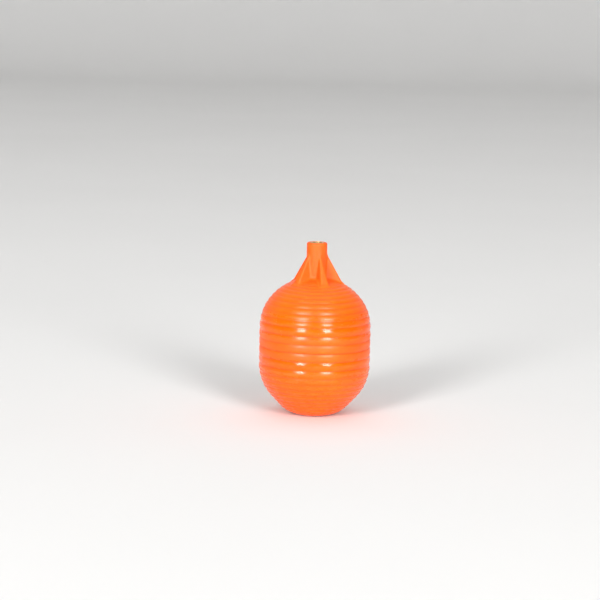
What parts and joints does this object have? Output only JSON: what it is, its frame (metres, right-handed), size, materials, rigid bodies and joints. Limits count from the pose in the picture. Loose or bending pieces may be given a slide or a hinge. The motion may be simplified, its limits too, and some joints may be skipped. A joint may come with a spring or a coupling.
{
  "type": "float bulb",
  "caption": "Hollow ribbed plastic float with a domed body, flat base and a gusseted boss holding a threaded insert for a float valve's rod.",
  "frame": {"origin": "centre of the flat base, at the bottom of the part", "axes": "+Z along the axis of the float, from the base to the boss; -Y faces the viewer of the picture"},
  "size_m": [0.08, 0.08, 0.1239],
  "materials": {
    "shell_plastic": "glossy moulded orange",
    "insert_brass": "turned"
  },
  "bodies": {
    "root": {"upper_shell": "shell_plastic", "lower_shell": "shell_plastic", "threaded_insert": "insert_brass"}
  },
  "joints": []
}
